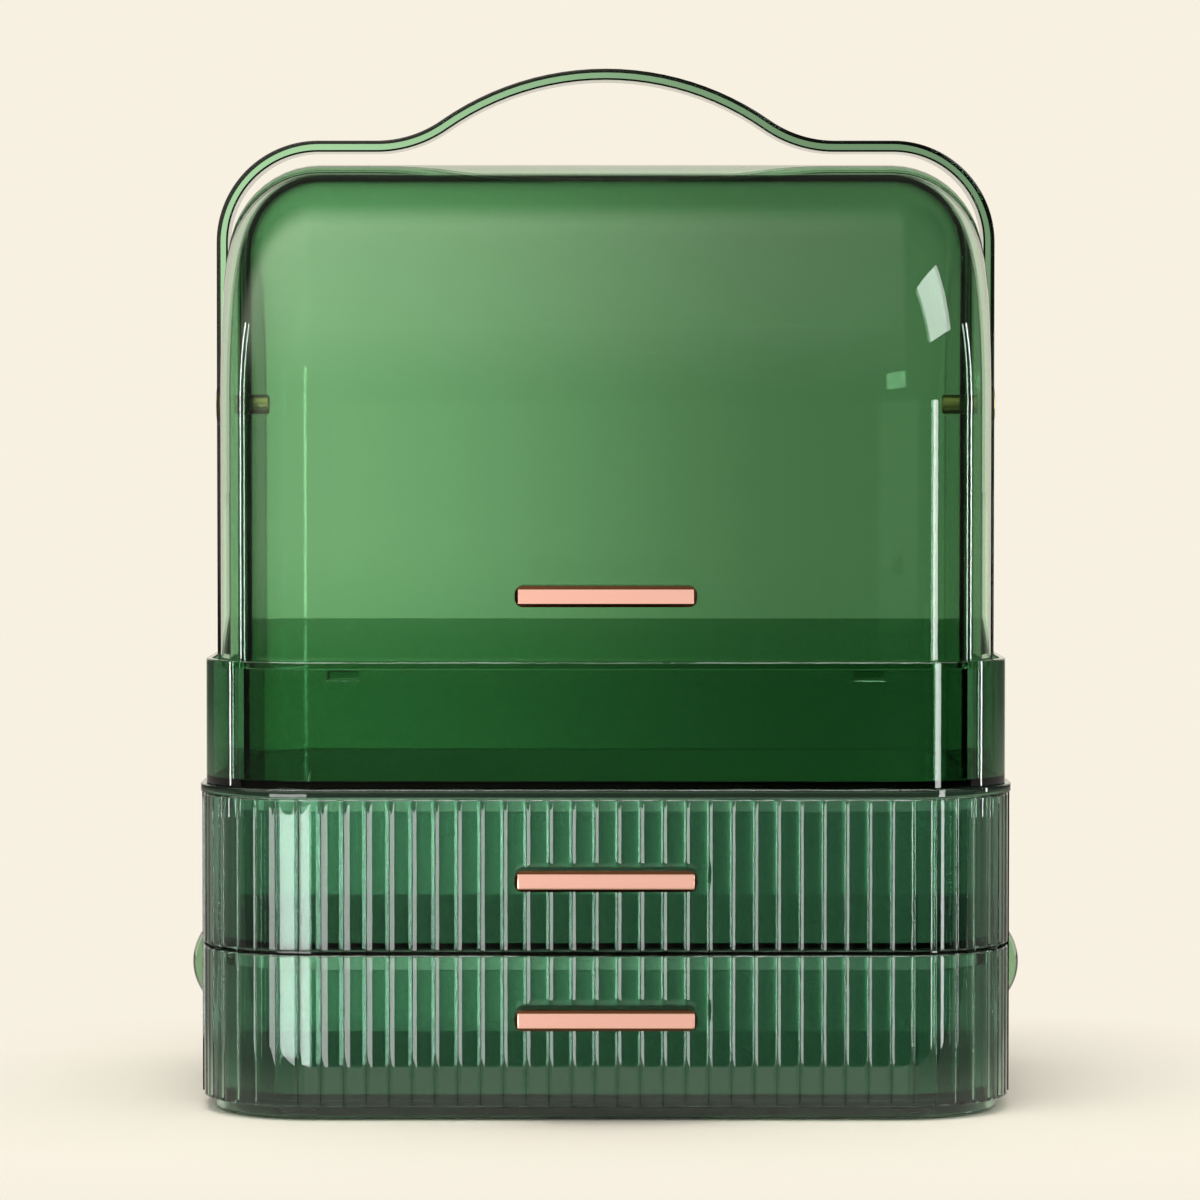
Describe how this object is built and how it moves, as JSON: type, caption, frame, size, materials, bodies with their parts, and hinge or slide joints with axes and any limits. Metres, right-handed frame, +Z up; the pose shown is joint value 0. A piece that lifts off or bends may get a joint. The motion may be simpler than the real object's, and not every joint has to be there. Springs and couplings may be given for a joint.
{
  "type": "makeup organizer",
  "caption": "Clear countertop organizer with fluted wrap-round drawers, an open display tray, an arched hood whose front half flips up, and a carrying strap over the top.",
  "frame": {"origin": "middle of the object's box in plan, at the surface that it stands on", "axes": "+X to the object's right as seen from the front, +Y to its back, +Z up; the drawers and the lid's pull face -Y"},
  "size_m": [0.2948, 0.199, 0.3618],
  "materials": {
    "clear_green": "polished, transparent, tinted bottle green",
    "rose_gold": "satin anodised rose gold",
    "pin_brass": "aged satin",
    "washer_nylon": "satin",
    "fastener_steel": "zinc plated",
    "pad_rubber": "matte"
  },
  "bodies": {
    "body": {"base_floor": "clear_green", "base_shell": "clear_green", "middle_shelf": "clear_green", "top_deck": "clear_green", "display_tray": "clear_green", "rear_hood": "clear_green", "carry_strap": "clear_green", "hinge_pin_left": "pin_brass", "hinge_pin_right": "pin_brass", "pivot_washer_left": "washer_nylon", "pivot_washer_right": "washer_nylon", "anchor_cap_left": "clear_green", "anchor_cap_right": "clear_green", "anchor_nut_left": "fastener_steel", "anchor_nut_right": "fastener_steel", "base_pads": "pad_rubber"},
    "lid": {"front_lid": "clear_green", "lid_pull": "rose_gold", "lid_pull_screws": "fastener_steel"},
    "upper_drawer": {"upper_drawer_front": "clear_green", "upper_drawer_bin": "clear_green", "upper_drawer_pull": "rose_gold", "upper_pull_screws": "fastener_steel"},
    "lower_drawer": {"lower_drawer_front": "clear_green", "lower_drawer_bin": "clear_green", "lower_drawer_pull": "rose_gold", "lower_pull_screws": "fastener_steel"}
  },
  "joints": [
    {"name": "lid_flip", "type": "hinge", "parent": "body", "child": "lid", "pos_m": [0, 0.01002, 0.2431], "axis": [-1, 0, 0], "range_deg": [0, 90]},
    {"name": "upper_drawer_slide", "type": "slide", "parent": "body", "child": "upper_drawer", "axis": [0, -1, 0], "range_m": [0, 0.12]},
    {"name": "lower_drawer_slide", "type": "slide", "parent": "body", "child": "lower_drawer", "axis": [0, -1, 0], "range_m": [0, 0.12]}
  ]
}
